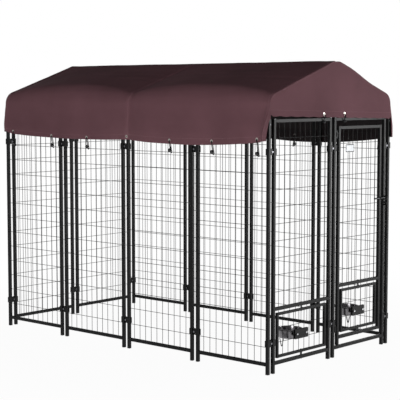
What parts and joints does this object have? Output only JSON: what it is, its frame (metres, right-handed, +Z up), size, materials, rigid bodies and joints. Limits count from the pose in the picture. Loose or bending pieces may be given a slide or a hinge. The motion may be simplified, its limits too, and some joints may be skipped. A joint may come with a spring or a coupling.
{
  "type": "outdoor dog kennel run",
  "caption": "Walk-in dog run of clamped wire-mesh panels with a hinged latching gate, turning bowl feeders and a sloped cloth roof cover on a tube frame",
  "frame": {"origin": "middle of the footprint on the floor", "axes": "+X points out of the gate end, along the long side; +Y points to the right-hand wall, the gate's side; +Z is up"},
  "size_m": [2.4117, 1.377, 1.854],
  "materials": {
    "black_powder_coat": "satin black powder coat",
    "black_oxide_steel": "blackened steel",
    "zinc_steel": "bright zinc plate",
    "stainless_steel": "spun and polished",
    "maroon_cloth": "coated woven polyester",
    "nickel_plate": "bright nickel plate",
    "black_elastic": "braided elastic cord",
    "black_plastic": "moulded"
  },
  "bodies": {
    "run": {"left_wall_panel_1": "black_powder_coat", "left_wall_panel_2": "black_powder_coat", "left_wall_panel_3": "black_powder_coat", "left_wall_panel_4": "black_powder_coat", "right_wall_panel_1": "black_powder_coat", "right_wall_panel_2": "black_powder_coat", "right_wall_panel_3": "black_powder_coat", "right_wall_panel_4": "black_powder_coat", "back_wall_panel_1": "black_powder_coat", "back_wall_panel_2": "black_powder_coat", "front_feeder_panel": "black_powder_coat", "gate_frame": "black_powder_coat", "gate_hinge_lugs": "black_powder_coat", "gate_hinge_pins": "black_oxide_steel", "latch_keeper": "black_powder_coat", "feeder_1_pivot_pins": "black_oxide_steel", "clamp_outer_halves": "black_powder_coat", "clamp_inner_halves": "black_powder_coat", "clamp_bolts": "black_oxide_steel", "clamp_nuts": "black_oxide_steel", "eave_elbows": "black_powder_coat", "rear_left_rafter": "black_powder_coat", "rear_right_rafter": "black_powder_coat", "middle_left_rafter": "black_powder_coat", "middle_right_rafter": "black_powder_coat", "front_left_rafter": "black_powder_coat", "front_right_rafter": "black_powder_coat", "rear_ridge_connector": "black_powder_coat", "middle_ridge_connector": "black_powder_coat", "front_ridge_connector": "black_powder_coat", "rear_ridge_tube": "black_powder_coat", "front_ridge_tube": "black_powder_coat", "rafter_screws": "black_oxide_steel", "canopy": "maroon_cloth", "canopy_eyelets": "nickel_plate", "tie_loops": "black_elastic", "tie_balls": "black_plastic", "post_top_plugs": "black_plastic", "foot_caps": "black_plastic"},
    "gate": {"gate_leaf": "black_powder_coat", "gate_hinge_knuckles": "black_powder_coat", "latch_sleeve": "black_powder_coat", "feeder_2_pivot_pins": "black_oxide_steel"},
    "latch": {"latch_bolt": "black_oxide_steel"},
    "feeder_1": {"feeder_1_frame": "black_powder_coat", "feeder_1_hoop": "black_powder_coat", "feeder_1_clamp_plate": "black_powder_coat", "feeder_1_bolts": "zinc_steel", "feeder_1_nuts": "zinc_steel"},
    "bowl_1": {"feeder_1_bowl": "stainless_steel"},
    "feeder_2": {"feeder_2_frame": "black_powder_coat", "feeder_2_hoop": "black_powder_coat", "feeder_2_clamp_plate": "black_powder_coat", "feeder_2_bolts": "zinc_steel", "feeder_2_nuts": "zinc_steel"},
    "bowl_2": {"feeder_2_bowl": "stainless_steel"}
  },
  "joints": [
    {"name": "gate_hinge", "type": "hinge", "parent": "run", "child": "gate", "pos_m": [1.176, 0.048, 0], "axis": [0, 0, -1], "range_deg": [0, 90]},
    {"name": "latch_slide", "type": "slide", "parent": "gate", "child": "latch", "axis": [0, 1, 0], "range_m": [0, 0.03]},
    {"name": "feeder_1_turn", "type": "hinge", "parent": "run", "child": "feeder_1", "pos_m": [1.176, -0.3, 0], "axis": [0, 0, 1], "continuous": true},
    {"name": "bowl_1_lift", "type": "slide", "parent": "feeder_1", "child": "bowl_1", "axis": [0, 0, 1], "range_m": [0, 0.06]},
    {"name": "feeder_2_turn", "type": "hinge", "parent": "gate", "child": "feeder_2", "pos_m": [1.176, 0.3, 0], "axis": [0, 0, 1], "continuous": true},
    {"name": "bowl_2_lift", "type": "slide", "parent": "feeder_2", "child": "bowl_2", "axis": [0, 0, 1], "range_m": [0, 0.06]}
  ]
}
